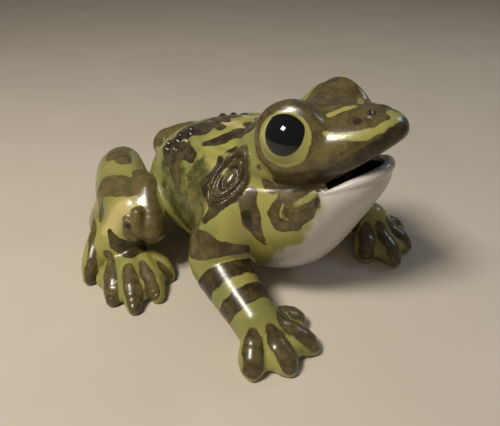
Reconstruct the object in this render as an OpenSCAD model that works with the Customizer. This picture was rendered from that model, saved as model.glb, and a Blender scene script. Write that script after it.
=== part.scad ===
// A glazed earthenware frog that crouches with its mouth open.
// It is slip-cast and hollow: every piece here is one clay form, luted to its neighbours
// while soft and then fired with them, so nothing on it moves.
// Frame: millimetres, +Z up, the frog faces -Y, its right side is -X.
// The origin is on the table under the middle of the figure's length and width.

/* [Clay] */
// Thickness of the cast wall of the trunk
trunk_wall = 8; // [6:0.5:10]
// Thickness of the cast wall of the head and the limbs
limb_wall = 7; // [5:0.5:9]
// Thickness of the roll that makes the lower lip
lip_roll = 9; // [7:0.5:11]

/* [Trunk] */
// Half of the trunk's width at the flanks
trunk_half_w = 80; // [76:1:84]
// Height of the belly above the table
belly_z = 9; // [6:1:14]

/* [Head] */
// Radius of the dome that an eye sits in
eye_dome_r = 27; // [26:0.5:29]
// Distance between the two domes' centres
eye_spacing = 66; // [62:1:70]
// Height of the domes' centres
eye_z = 167; // [162:1:168]
// Radius of an eyeball
eye_r = 21; // [19:0.5:22]
// Half of the thickness of the ring around an eyeball
lid_r = 5; // [4:0.5:6]
// Angle that the upper jaw opens above the lower one
gape = 16; // [12:1:20]
// Half of the eardrum's length
ear_half_l = 30; // [27:1:33]
// Half of the eardrum's width
ear_half_w = 16; // [14:1:18]
// Height that the eardrum stands out of the neck
ear_relief = 4; // [3:0.5:5]

/* [Limbs] */
// Radius of a foreleg at the elbow
elbow_r = 27; // [24:1:29]
// Radius of a foreleg at the wrist
wrist_r = 20; // [18:1:22]
// Radius of a finger at its pad
finger_r = 12.5; // [11:0.5:14]
// Radius of a toe at its pad
toe_r = 12; // [10:0.5:13]
// Radius of the blunt rear end of a haunch
haunch_end_r = 23; // [20:1:24]
// Radius of the fold of skin down the front of a haunch
shank_r = 12; // [11:0.5:13]

/* [Hidden] */

right = -1;
left = 1;
facets = 20;         // facets round a large form
small_facets = 16;   // facets round a finger, a toe or a wart
far = 400;           // larger than the figure
table_cut = 60;      // deeper than any form dips below the table

green = [0.66, 0.70, 0.42];
olive = [0.38, 0.36, 0.18];
brown = [0.27, 0.23, 0.12];
white = [0.85, 0.84, 0.80];
black = [0.05, 0.05, 0.06];

// A bead is [x, y, z, half width, half length, half height]
trunk_beads = [
    [0, -66, 78, 58, 45, 54],
    [0, -36, 80, 70, 60, 80 - belly_z],
    [0, 10, 79, trunk_half_w, 60, 79 - belly_z - 3],
    [0, 58, 71, 70, 54, 59],
    [0, 96, 60, 46, 36, 46]
];
head_beads = [
    [0, -48, 138, 54, 40, 34],
    [0, -86, 156, 50, 34, 33],
    [0, -116, 167, 38, 26, 25],
    [0, -136, 181, 18, 15, 12]
];
jaw_beads = [
    [0, -54, 92, 54, 44, 44],
    [0, -86, 100, 50, 36, 40],
    [0, -108, 128, 42, 32, 24],
    [0, -124, 145, 26, 19, 12]
];
// The limbs are written for the left side, and the right side mirrors them
foreleg_beads = [
    [58, -30, 88, 28, 28, 28],
    [74, -28, 62, 28, 28, 28],
    [81, -33, 44, elbow_r, elbow_r, elbow_r],
    [91, -63, 33, 23, 23, 23],
    [99, -92, 25, wrist_r, wrist_r, wrist_r]
];
palm_beads = [
    [99, -94, 22, wrist_r - 2, wrist_r - 2, wrist_r - 2],
    [98, -106, 18, wrist_r - 1, 15, 14]
];
haunch_beads = [
    [38, 173, 56, haunch_end_r, haunch_end_r, haunch_end_r],
    [56, 149, 60, 28, 28, 28],
    [80, 108, 60, 31, 31, 31],
    [89, 76, 57, 29, 29, 29]
];
shank_beads = [
    [70, 90, 86, shank_r - 5, shank_r - 5, shank_r - 5],
    [77, 72, 84, shank_r - 2, shank_r - 2, shank_r - 2],
    [84, 58, 73, shank_r - 1, shank_r - 1, shank_r - 1],
    [92, 49, 60, shank_r + 1, shank_r + 1, shank_r + 1],
    [96, 44, 52, shank_r + 1, shank_r + 1, shank_r + 1]
];
haunch_opening = [[80, 106, 60, 14, 14, 14], [50, 84, 64, 14, 14, 14]];
foot_opening = [[96, 112, 30, 11, 11, 11], [86, 104, 48, 11, 11, 11]];
knee_fold_beads = [
    [[104, 54, 72, 6, 6, 6], [109, 50, 62, 7, 7, 7], [108, 46, 54, 6, 6, 6]],
    [[112, 60, 64, 5, 5, 5], [116, 57, 54, 5.5, 5.5, 5.5], [113, 52, 48, 4.5, 4.5, 4.5]]
];
heel_beads = [
    [80, 152, 20, 18, 18, 20],
    [97, 120, 26, 24, 24, 26],
    [110, 84, 27, 27, 27, 27]
];
// A digit is [knuckle x, y, z, tip x, tip y]
fingers = [
    [110, -100, 20, 130, -116],
    [102, -108, 20, 107, -136],
    [90, -106, 20, 77, -138],
    [82, -98, 18, 61, -112]
];
toes = [
    [114, 108, 42, 154, 82],
    [120, 72, 24, 156, 39],
    [115, 64, 25, 149, 15],
    [107, 60, 23, 125, 10],
    [99, 60, 20, 99, 25]
];

snout_y = head_beads[3].y - head_beads[3][4];
rear_y = haunch_beads[0].y + haunch_end_r;
mid_y = (snout_y + rear_y) / 2; // the shoulders' cross plane to the middle of the length
digit_tip_z = 5;
digit_tip_r = 7;
mouth_corner = [0, -110, 137];   // where the two jaws meet
lower_lip_slope = 28;            // how far the lower lip rises forwards, in degrees
lip_half_w = 41;
lip_reach = 33;
lip_pinch = 0.35;               // draws the lip's two sides in towards the chin
lip_steps = 12;
wart_r = 5;
warts = [
    [30, 50, 128], [38, 60, 120], [46, 70, 112], [30, 66, 122],
    [40, 46, 125], [48, 54, 117], [22, 58, 128], [38, 76, 113]
];
fold_beads = [
    [46, -22, 132, 5, 5, 5], [46, -5, 131, 5, 5, 5], [45, 12, 130, 5, 5, 5],
    [42, 28, 128, 5, 5, 5], [36, 38, 128, 4, 4, 4]
];
eye_tilt = [14, 74, 0];         // turns an eyeball's axis out sideways and a little forwards
eye_y = -74;
eye_cap = 4;                    // how far the eyeball goes down behind its middle
eye_out = 9;                    // from the dome's centre to the eyeball's
lid_out = 1.5;                  // how far the lid's middle is in front of the eyeball's
ear_place = [58, -30, 122];     // the middle of the eardrum, on the side of the neck
ear_turn = [0, 54, -8];         // turns the eardrum to face out of the neck
ear_lean = 15;                  // leans its long axis back
nostril_r = 5;
nostril_place = [9, -126, 192];
nostril_turn = [0, 14, 0];

function thinned(beads, wall) = [
    for (b = beads) [b.x, b.y, b.z, b[3] - wall, b[4] - wall, b[5] - wall]
];

module in_place() translate([0, -mid_y, 0]) children();
module on_side(side) mirror([side == right ? 1 : 0, 0, 0]) children();

module bead(b, fn) translate([b.x, b.y, b.z]) scale([b[3], b[4], b[5]]) sphere(r = 1, $fn = fn);

// A smooth clay form through a row of beads
module form(beads, fn = facets) {
    for (i = [0 : len(beads) - 2]) {
        hull() {
            bead(beads[i], fn);
            bead(beads[i + 1], fn);
        }
    }
}

module below_table() translate([-far / 2, -far / 2, -table_cut]) cube([far, far, table_cut]);

// The space between the jaws: a wedge that opens forwards from the mouth's corners.
// drop lowers its floor to the middle of the lip roll.
module mouth_gap(drop = 0) {
    reach = 90;
    translate(mouth_corner) hull() {
        rotate([-lower_lip_slope - gape, 0, 0]) translate([-far / 4, -reach, -1]) cube([far / 2, reach, 1]);
        rotate([-lower_lip_slope, 0, 0]) translate([-far / 4, -reach, -drop]) cube([far / 2, reach, 1]);
    }
}

// The one hollow inside the trunk, the head and the jaw, which the mouth opens into
module hollow() {
    form(thinned(trunk_beads, trunk_wall), small_facets);
    form(thinned(head_beads, limb_wall), small_facets);
    form(thinned(jaw_beads, limb_wall), small_facets);
}

module eye_dome(side) {
    x = eye_spacing / 2;
    on_side(side) form([
        [x, eye_y, eye_z, eye_dome_r, eye_dome_r, eye_dome_r],
        [x - 4, eye_y + 5, eye_z + 1, eye_dome_r - 1, eye_dome_r - 1, eye_dome_r - 1]
    ], 24);
}

// The rolled rim of the lower jaw, from one corner of the mouth round the chin to the other
module lip_form() {
    r = lip_roll / 2;
    step = 180 / lip_steps;
    translate(mouth_corner) rotate([-lower_lip_slope, 0, 0]) for (a = [0 : step : 180 - step]) hull() {
        for (b = [a, a + step]) {
            spread = 1 - lip_pinch * sin(b);
            translate([lip_half_w * cos(b) * spread, -lip_reach * sin(b), -r]) sphere(r = r, $fn = 12);
        }
    }
}

module eye_axis(side) {
    on_side(side) translate([eye_spacing / 2, eye_y, eye_z]) rotate(eye_tilt) translate([0, 0, eye_out]) children();
}

module lid_ring() {
    rotate_extrude($fn = 48) difference() {
        translate([eye_r + 2, lid_out]) circle(r = lid_r, $fn = 32);
        circle(r = eye_r, $fn = 64);
        translate([-far, -far / 2]) square([far, far]);
    }
}

module eye_space(side) {
    eye_axis(side) {
        sphere(r = eye_r + 0.3, $fn = 24);
        cylinder(r = eye_r + 2, h = far / 8, $fn = 24);
        rotate_extrude($fn = 24) translate([eye_r + 2, lid_out]) circle(r = lid_r + 0.2, $fn = 14);
    }
}

module ear_axis(side) on_side(side) translate(ear_place) rotate(ear_turn) rotate(ear_lean) children();
module nostril_axis(side) on_side(side) translate(nostril_place) rotate(nostril_turn) children();

module trunk_form() form(trunk_beads);
module head_form() {
    form(head_beads);
    eye_dome(right);
    eye_dome(left);
}
module jaw_form() form(jaw_beads);
module haunch_form(side) on_side(side) form(haunch_beads);
module shank_form(side) on_side(side) form(shank_beads, small_facets);
module knee_fold_form(side) on_side(side) for (lobe = knee_fold_beads) form(lobe, small_facets);
module foreleg_form(side) on_side(side) form(foreleg_beads, small_facets);

module trunk_shell() {
    color(green) in_place() difference() {
        trunk_form();
        hollow();
    }
}

module head_shell() {
    color(green) in_place() difference() {
        head_form();
        trunk_form();
        mouth_gap();
        hollow();
        for (side = [right, left]) {
            eye_space(side);
            nostril_axis(side) translate([0, 0, -3]) cylinder(r = nostril_r + 0.2, h = 20, $fn = 32);
        }
        translate(mouth_corner) rotate([-lower_lip_slope, 0, 0]) translate([-far / 2, -far / 2, -far]) cube(far);
    }
}

module lower_jaw() {
    color(white) in_place() difference() {
        jaw_form();
        lip_form();
        trunk_form();
        mouth_gap(lip_roll / 2);
        hollow();
        translate(mouth_corner) rotate([-lower_lip_slope, 0, 0]) translate([-far / 2, -far / 2, 0]) cube(far);
    }
}

module lower_lip() color(white) in_place() lip_form();

// A cap of the eyeball, thick enough to be set in its hole in the dome
module eyeball(side) {
    color(black) in_place() eye_axis(side) rotate_extrude($fn = 64) difference() {
        circle(r = eye_r, $fn = 64);
        circle(r = eye_r - limb_wall, $fn = 64);
        translate([-far, -far / 2]) square([far, far]);
        translate([-far / 2, -far - eye_cap]) square([far, far]);
    }
}

module eyelid(side) {
    color(olive) in_place() eye_axis(side) lid_ring();
}

// A low plug in the snout with a raised rim round a dimple
module nostril(side) {
    color(brown) in_place() nostril_axis(side) rotate_extrude($fn = 48) difference() {
        union() {
            translate([0, -2.5]) square([nostril_r, 2.5]);
            translate([nostril_r - 2, 0]) circle(r = 2, $fn = 32);
        }
        circle(r = 2, $fn = 32);
        translate([-far, -far / 2]) square([far, far]);
    }
}

// An oval pad with two raised rings and a low button in the middle
module eardrum(side) {
    color(brown) in_place() difference() {
        ear_axis(side) scale([ear_half_l, ear_half_w, 1]) rotate_extrude($fn = 24) polygon([
            [0, -16], [1, -16], [1, 0.5 * ear_relief], [0.93, ear_relief], [0.84, ear_relief],
            [0.74, 0.3 * ear_relief], [0.62, 0.3 * ear_relief], [0.52, 0.9 * ear_relief],
            [0.44, 0.9 * ear_relief], [0.34, 0.3 * ear_relief], [0.15, 0.8 * ear_relief],
            [0, 0.9 * ear_relief]
        ]);
        trunk_form();
        head_form();
        foreleg_form(side);
    }
}

// The lumps that cover the hump of the back
module back_warts() {
    color(brown) in_place() difference() {
        for (side = [right, left]) {
            for (w = warts) on_side(side) hull() {
                translate([w.x, w.y, w.z]) sphere(r = wart_r, $fn = 10);
                translate([w.x - 1, w.y + 3, w.z]) sphere(r = wart_r - 1.5, $fn = 10);
            }
        }
        trunk_form();
    }
}

// A low ridge down the side of the back, from behind the eye to the hump
module back_fold(side) {
    color(olive) in_place() difference() {
        on_side(side) form(fold_beads, 12);
        trunk_form();
        head_form();
        jaw_form();
        haunch_form(side);
    }
}

module foreleg(side) {
    color(green) in_place() difference() {
        foreleg_form(side);
        on_side(side) form(thinned(foreleg_beads, limb_wall), 12);
        trunk_form();
        jaw_form();
        below_table();
    }
}

// A digit swells from its knuckle to a pad and ends in a blunt tip on the table
module digit(d, pad_r) {
    knuckle = [d[0], d[1], d[2], pad_r * 0.8, pad_r * 0.8, pad_r * 0.8];
    pad = [(d[0] + 2 * d[3]) / 3, (d[1] + 2 * d[4]) / 3, (d[2] + 2 * digit_tip_z) / 3, pad_r, pad_r, pad_r];
    tip = [d[3], d[4], digit_tip_z, digit_tip_r, digit_tip_r, digit_tip_r];
    form([knuckle, pad, tip], small_facets);
}

module hand(side) {
    color(green) in_place() difference() {
        on_side(side) {
            form(palm_beads, small_facets);
            for (f = fingers) digit(f, finger_r);
        }
        foreleg_form(side);
        below_table();
    }
}

module knee_fold(side) {
    color(olive) in_place() difference() {
        knee_fold_form(side);
        haunch_form(side);
        shank_form(side);
        trunk_form();
    }
}

module haunch(side) {
    color(olive) in_place() difference() {
        haunch_form(side);
        on_side(side) {
            form(thinned(haunch_beads, limb_wall), 12);
            form(haunch_opening, 12);
        }
        trunk_form();
        below_table();
    }
}

module shank(side) {
    color(green) in_place() difference() {
        shank_form(side);
        trunk_form();
        haunch_form(side);
        below_table();
    }
}

module hind_foot(side) {
    color(green) in_place() difference() {
        on_side(side) {
            form(heel_beads, small_facets);
            for (t = toes) digit(t, toe_r);
        }
        on_side(side) {
            form(thinned(heel_beads, limb_wall), 12);
            form(foot_opening, 12);
        }
        haunch_form(side);
        shank_form(side);
        knee_fold_form(side);
        trunk_form();
        below_table();
    }
}

trunk_shell();
head_shell();
lower_jaw();
lower_lip();
eyeball(right);  // right_eyeball
eyeball(left);  // left_eyeball
eyelid(right);  // right_eyelid
eyelid(left);  // left_eyelid
nostril(right);  // right_nostril
nostril(left);  // left_nostril
eardrum(right);  // right_eardrum
eardrum(left);  // left_eardrum
back_warts();
back_fold(right);  // right_back_fold
back_fold(left);  // left_back_fold
foreleg(right);  // right_foreleg
foreleg(left);  // left_foreleg
hand(right);  // right_hand
hand(left);  // left_hand
haunch(right);  // right_haunch
haunch(left);  // left_haunch
shank(right);  // right_shank
shank(left);  // left_shank
knee_fold(right);  // right_knee_fold
knee_fold(left);  // left_knee_fold
hind_foot(right);  // right_hind_foot
hind_foot(left);  // left_hind_foot
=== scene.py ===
"""A glazed earthenware frog with its mouth open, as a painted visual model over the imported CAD.

The figure is sculpted in millimetres as one continuous clay skin, then cut into the same
pieces as the CAD's nodes, so the glaze runs on across the joins as it does on the real thing.
In the sculpting frame the shoulders' cross plane is y = 0, the frog faces -Y and +Z is up.
The forms are written for the frog's left side, and the right side mirrors them.
"""
import math

import bpy
import numpy as np
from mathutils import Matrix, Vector


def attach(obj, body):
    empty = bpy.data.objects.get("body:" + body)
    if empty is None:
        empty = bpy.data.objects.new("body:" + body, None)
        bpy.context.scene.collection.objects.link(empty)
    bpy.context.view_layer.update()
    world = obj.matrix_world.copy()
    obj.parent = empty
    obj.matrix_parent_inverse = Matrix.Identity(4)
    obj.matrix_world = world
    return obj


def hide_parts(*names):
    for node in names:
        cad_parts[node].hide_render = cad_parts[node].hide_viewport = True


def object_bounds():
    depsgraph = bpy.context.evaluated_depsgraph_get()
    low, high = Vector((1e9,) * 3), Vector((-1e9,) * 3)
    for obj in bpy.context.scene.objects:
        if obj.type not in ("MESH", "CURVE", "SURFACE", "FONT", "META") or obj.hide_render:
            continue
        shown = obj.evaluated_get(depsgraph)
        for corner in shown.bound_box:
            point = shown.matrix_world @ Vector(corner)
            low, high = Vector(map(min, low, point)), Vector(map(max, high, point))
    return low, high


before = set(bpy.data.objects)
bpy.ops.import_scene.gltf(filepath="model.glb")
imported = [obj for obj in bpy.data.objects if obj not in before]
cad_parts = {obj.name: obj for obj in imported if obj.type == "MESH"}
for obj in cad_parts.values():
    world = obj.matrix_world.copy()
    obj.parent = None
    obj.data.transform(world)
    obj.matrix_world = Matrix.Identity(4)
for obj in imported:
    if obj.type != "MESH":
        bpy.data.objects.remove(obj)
cad_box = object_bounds()

MM = 0.001
GRID = 1.9            # mm between the sculpting grid's points
BLOCK = 8             # grid cells along a block
FAR = 1000.0
CULL = 19.0           # mm off the box of a sculpting step beyond which it makes no difference
WIDEST_CAP = 24.0     # mm from an open rim to its cap's tip, beyond which the rim stays open

# ---------------------------------------------------------------- the clay forms
# A bead is (x, y, z, half width, half length, half height); four numbers give a round bead.
TRUNK = [(0, -66, 78, 58, 45, 54), (0, -36, 80, 70, 60, 71), (0, 10, 79, 80, 60, 67),
         (0, 58, 71, 70, 54, 59), (0, 96, 60, 46, 36, 46)]
HEAD = [(0, -48, 138, 54, 40, 34), (0, -86, 156, 50, 34, 33), (0, -116, 167, 38, 26, 25),
        (0, -136, 181, 18, 15, 12)]
JAW = [(0, -54, 92, 54, 44, 44), (0, -86, 100, 50, 36, 40), (0, -108, 128, 42, 32, 24),
       (0, -124, 145, 26, 19, 12)]
FORELEG = [(58, -30, 88, 28), (74, -28, 62, 28), (81, -33, 44, 27), (91, -63, 33, 23),
           (99, -92, 25, 20)]
PALM = [(99, -94, 22, 18, 18, 18), (98, -106, 18, 19, 15, 14)]
HAUNCH = [(38, 173, 56, 23), (56, 149, 60, 28), (80, 108, 60, 31), (89, 76, 57, 29)]
SHANK = [(70, 90, 86, 7), (77, 72, 84, 10), (84, 58, 73, 11), (92, 49, 60, 13),
         (96, 44, 52, 13)]
KNEE_FOLDS = [[(104, 54, 72, 6), (109, 50, 62, 7), (108, 46, 54, 6)],
              [(112, 60, 64, 5), (116, 57, 54, 5.5), (113, 52, 48, 4.5)]]
HEEL = [(80, 152, 20, 18, 18, 20), (97, 120, 26, 24, 24, 26), (110, 84, 27, 27, 27, 27)]
# A digit is (knuckle x, y, z, tip x, y)
FINGERS = [(110, -100, 20, 130, -116), (102, -108, 20, 107, -136), (90, -106, 20, 77, -138),
           (82, -98, 18, 61, -112)]
TOES = [(114, 108, 42, 154, 82), (120, 72, 24, 156, 39), (115, 64, 25, 149, 15),
        (107, 60, 23, 125, 10), (99, 60, 20, 99, 25)]
FINGER_R, TOE_R = 12.5, 12.0
TIP_Z, TIP_R = 5.0, 7.0
EYE_DOME = [(33, -74, 167, 27), (29, -69, 168, 26)]
EYE_AXIS = np.array((0.933, -0.242, 0.267))
EYE_OUT, EYE_R = 9.0, 21.0
LID_OUT, LID_RING, LID_R = 1.5, 23.0, 5.0
MOUTH_CORNER = np.array((0.0, -110.0, 137.0))
LIP_SLOPE, GAPE = 28.0, 16.0          # degrees
LIP_HALF_W, LIP_REACH, LIP_PINCH, LIP_R = 41.0, 33.0, 0.35, 4.5
WARTS = [(30, 50, 128), (38, 60, 120), (46, 70, 112), (30, 66, 122), (40, 46, 125),
         (48, 54, 117), (22, 58, 128), (38, 76, 113)]
BACK_FOLD = [(46, -22, 132, 5), (46, -5, 131, 5), (45, 12, 130, 5), (42, 28, 128, 5),
             (36, 38, 128, 4)]
NOSTRIL = np.array((9.0, -126.0, 192.0))
NOSTRIL_TILT = 14.0                   # degrees outwards
EAR = np.array((58.0, -30.0, 122.0))
EAR_TURN, EAR_YAW, EAR_LEAN = 54.0, -8.0, 15.0     # degrees
EAR_HALF_L, EAR_HALF_W = 30.0, 16.0
EAR_REACH = 26.0                      # mm over and under its plane that the relief acts
# The eardrum's relief: height in mm against the share of the way out from its middle
EAR_RELIEF = [(0, 3.4), (0.15, 3.2), (0.34, 1.0), (0.46, 3.4), (0.54, 3.4), (0.66, 1.0),
              (0.76, 1.2), (0.86, 3.8), (0.93, 3.6), (1.05, 0.0)]
HEAD_WALL = 7.0
CAVITY_BACK = -58.0                   # how far back the mouth's hollow is sculpted


def turn(rx=0.0, ry=0.0, rz=0.0):
    """The matrix that turns about X, then Y, then Z, in degrees."""
    a, b, c = np.radians((rx, ry, rz))
    about_x = np.array(((1, 0, 0), (0, math.cos(a), -math.sin(a)), (0, math.sin(a), math.cos(a))))
    about_y = np.array(((math.cos(b), 0, math.sin(b)), (0, 1, 0), (-math.sin(b), 0, math.cos(b))))
    about_z = np.array(((math.cos(c), -math.sin(c), 0), (math.sin(c), math.cos(c), 0), (0, 0, 1)))
    return about_z @ about_y @ about_x


def full_beads(row):
    """Beads of four numbers made into beads of six."""
    return np.array([b if len(b) == 6 else (*b[:3], b[3], b[3], b[3]) for b in row], float)


def flowing(beads, steps=3):
    """More beads between the given ones, on a smooth curve through them."""
    p = np.vstack([2 * beads[0] - beads[1], beads, 2 * beads[-1] - beads[-2]])
    out = []
    for a, b, c, d in zip(p[:-3], p[1:-2], p[2:-1], p[3:]):
        for t in np.arange(steps) / steps:
            out.append(0.5 * (2 * b + (c - a) * t + (2 * a - 5 * b + 4 * c - d) * t * t
                              + (3 * b - a - 3 * c + d) * t ** 3))
    out.append(p[-2])
    return np.array(out)


def digit_row(d, pad_r):
    """A digit swells from its knuckle to a pad and ends in a blunt tip on the table."""
    pad = ((d[0] + 2 * d[3]) / 3, (d[1] + 2 * d[4]) / 3, (d[2] + 2 * TIP_Z) / 3, pad_r)
    return [(d[0], d[1], d[2], pad_r * 0.8), pad, (d[3], d[4], TIP_Z, TIP_R)]


def lip_row():
    """The lower lip's roll, round its plane from the mouth's corner to the chin."""
    up = turn(-LIP_SLOPE)
    row = []
    for b in np.radians(np.linspace(0, 90, 9)):
        spread = 1 - LIP_PINCH * math.sin(b)
        at = np.array((LIP_HALF_W * math.cos(b) * spread, -LIP_REACH * math.sin(b), -LIP_R))
        row.append((*(MOUTH_CORNER + up @ at), LIP_R * min(1.0, 0.3 + 1.1 * math.sin(b))))
    return row


def soft_min(a, b, k):
    """The lower of two distances, rounded over where they are within k of each other."""
    h = np.clip(0.5 + 0.5 * (b - a) / k, 0, 1)
    return b + (a - b) * h - k * h * (1 - h)


def soft_max(a, b, k):
    """The higher of two distances, rounded over in the same way."""
    return -soft_min(-a, -b, k)


def apart(form, low, high):
    """The gap between a form's box and another box."""
    return math.sqrt((np.maximum(np.maximum(form.low - high, low - form.high), 0) ** 2).sum())


class Chain:
    """The distance to a form that runs smoothly through a row of beads."""

    def __init__(self, row, smooth=True, blend=0.0):
        beads = full_beads(row)
        self.blend = blend
        self.beads = flowing(beads, 6 if blend else 3) if smooth and len(beads) > 2 else beads
        self.low = (self.beads[:, :3] - self.beads[:, 3:]).min(0)
        self.high = (self.beads[:, :3] + self.beads[:, 3:]).max(0)
        a, b = self.beads[:-1], self.beads[1:]
        self.mid = (a + b)[:, :3] / 2
        self.round = (np.sqrt(((b - a)[:, :3] ** 2).sum(1)) / 2
                      + np.maximum(a[:, 3:].max(1), b[:, 3:].max(1)))

    def __call__(self, p):
        best = np.full(len(p), FAR)
        low, high = p.min(0), p.max(0)
        least = (np.sqrt(((self.mid - (low + high) / 2) ** 2).sum(1)) - self.round
                 - np.sqrt(((high - low) ** 2).sum()) / 2)
        for i in np.argsort(least):
            if least[i] > best.max() + self.blend:
                break
            a, b = self.beads[i], self.beads[i + 1]
            step = (b - a)[:3]
            t = np.clip((p - a[:3]) @ step / (step @ step), 0, 1)[:, None]
            q = p - a[:3] - t * step
            r = a[3:] + t * (b - a)[3:]
            k0 = np.sqrt(((q / r) ** 2).sum(1))
            k1 = np.sqrt(((q / (r * r)) ** 2).sum(1)) + 1e-9
            d = k0 * (k0 - 1) / k1
            best = soft_min(best, d, self.blend) if self.blend else np.minimum(best, d)
        return best


class Ring:
    """The distance to a ring round an axis."""

    def __init__(self, centre, axis, big, small):
        self.c, self.axis, self.big, self.small = centre, axis, big, small
        self.low, self.high = centre - big - small, centre + big + small

    def __call__(self, p):
        q = p - self.c
        along = q @ self.axis
        out = np.sqrt(np.maximum((q * q).sum(1) - along * along, 0)) - self.big
        return np.sqrt(out * out + along * along) - self.small


class Several:
    """The nearest of several forms, run softly into each other."""

    def __init__(self, forms, k):
        self.forms, self.k = forms, k
        self.low = np.min([f.low for f in forms], axis=0)
        self.high = np.max([f.high for f in forms], axis=0)

    def __call__(self, p):
        low, high = p.min(0), p.max(0)
        d = self.forms[0](p)
        for form in self.forms[1:]:
            if apart(form, low, high) < d.max() + self.k:
                d = soft_min(d, form(p), self.k)
        return d


def webs(digits, root, reach, r):
    """The clay that fills in between neighbouring digits, from a root to a share of their length."""
    out = []
    for a, b in zip(digits[:-1], digits[1:]):
        tip = np.array((a[3] + b[3], a[4] + b[4])) / 2
        end = root[:2] + (tip - root[:2]) * reach
        out.append(Chain([(*root, r), (*end, r * 0.75, r * 0.8)], smooth=False))
    return out


eye_centre = np.array(EYE_DOME[0][:3]) + EYE_OUT * EYE_AXIS
nostril_axis = turn(0, NOSTRIL_TILT, 0)[:, 2]
ear_frame = turn(0, EAR_TURN, EAR_YAW) @ turn(0, 0, EAR_LEAN)
lip_up = turn(-LIP_SLOPE)[:, 2]
lip_forward = -turn(-LIP_SLOPE)[:, 1]
palate_up = turn(-LIP_SLOPE - GAPE)[:, 2]

trunk_form = Chain(TRUNK, blend=3.0)
head_form = Several([Chain(HEAD, blend=3.0), Chain(EYE_DOME)], 9)
jaw_form = Chain(JAW, blend=3.0)
head_hollow = Chain([(*b[:3], *(np.array(b[3:]) - HEAD_WALL)) for b in HEAD])
jaw_hollow = Chain([(*b[:3], *(np.array(b[3:]) - HEAD_WALL)) for b in JAW])
lip_form = Chain(lip_row())
eyeball_form = Ring(eye_centre, EYE_AXIS, 0.0, EYE_R)
lid_form = Ring(eye_centre + LID_OUT * EYE_AXIS, EYE_AXIS, LID_RING, LID_R)
nostril_form = Ring(NOSTRIL, nostril_axis, 3.2, 2.0)
foreleg_form = Chain(FORELEG)
hand_form = Several([Chain(PALM)] + [Chain(digit_row(d, FINGER_R)) for d in FINGERS]
                    + webs(FINGERS, np.array((98.0, -104.0, 10.0)), 0.72, 11.0), 4)
haunch_form = Chain(HAUNCH)
shank_form = Chain(SHANK)
knee_form = Several([Chain(row) for row in KNEE_FOLDS], 1.2)
foot_form = Several([Chain(HEEL)] + [Chain(digit_row(d, TOE_R)) for d in TOES]
                    + webs(TOES, np.array((108.0, 74.0, 12.0)), 0.8, 13.0), 4)


class Ball:
    """The distance to a ball, which also serves as the box of a step of the sculpting."""

    def __init__(self, at, r):
        self.c, self.r = np.array(at, float), r
        self.low, self.high = self.c - r, self.c + r

    def __call__(self, p):
        return np.sqrt(((p - self.c) ** 2).sum(1)) - self.r


def snapped(points, sink, form, steps=4):
    """The points moved onto a form's surface, then sink mm into it."""
    p = np.array(points, float)
    for _ in range(steps):
        n = slope(form, p)
        p = p - n * (form(p) / np.maximum((n * n).sum(1), 0.2))[:, None]
    n = slope(form, p)
    return p - n / np.linalg.norm(n, axis=1, keepdims=True) * sink


def slope(form, p, e=0.5):
    """The gradient of a distance."""
    g = np.zeros_like(p)
    for corner in ((1, -1, -1), (-1, -1, 1), (-1, 1, -1), (1, 1, 1)):
        s = np.array(corner, float)
        g += s * form(p + s * e)[:, None]
    return g / (4 * e)


wart_at = snapped(WARTS, 1.0, trunk_form)
wart_form = Several([Ball(c, 4.2 + 0.5 * (i % 3)) for i, c in enumerate(wart_at)], 1.5)
fold_at = snapped([b[:3] for b in BACK_FOLD], 1.5, Several([trunk_form, head_form], 6))
fold_form = Chain([(*c, b[3]) for c, b in zip(fold_at, BACK_FOLD)])


def ear_share(p):
    """How far out from the eardrum's middle a point is, as a share, and its height over its plane."""
    q = (p - EAR) @ ear_frame
    return np.sqrt((q[:, 0] / EAR_HALF_L) ** 2 + (q[:, 1] / EAR_HALF_W) ** 2), q[:, 2]


def ear_height(p):
    """How far the eardrum's relief raises the skin, in mm."""
    share, up = ear_share(p)
    raised = np.interp(share, *np.array(EAR_RELIEF, float).T)
    return np.where(np.abs(up) < EAR_REACH, raised, 0.0)


def lip_side(p):
    """The height over the plane of the lower lip."""
    return (p - MOUTH_CORNER) @ lip_up


def head_part(p):
    """The head, above the plane of the lower lip."""
    return soft_max(head_form(p), -lip_side(p), 1.0)


def jaw_part(p):
    """The lower jaw, below the plane of the lower lip."""
    return soft_max(jaw_form(p), lip_side(p), 1.0)


def mouth_space(p):
    """The wedge between the jaws, down to the middle of the lip's roll."""
    q = p - MOUTH_CORNER
    return np.maximum(np.maximum(-(q @ lip_up) - LIP_R, q @ palate_up), -(q @ lip_forward))


def under_table(p):
    """The height over the table, which everything is cut flat at."""
    return p[:, 2]


def mouth_hollow(p):
    """The part of the hollow inside the head and the jaw that shows through the mouth."""
    space = soft_min(head_hollow(p), jaw_hollow(p), 4)
    return soft_max(space, p[:, 1] - CAVITY_BACK, 6)


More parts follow.
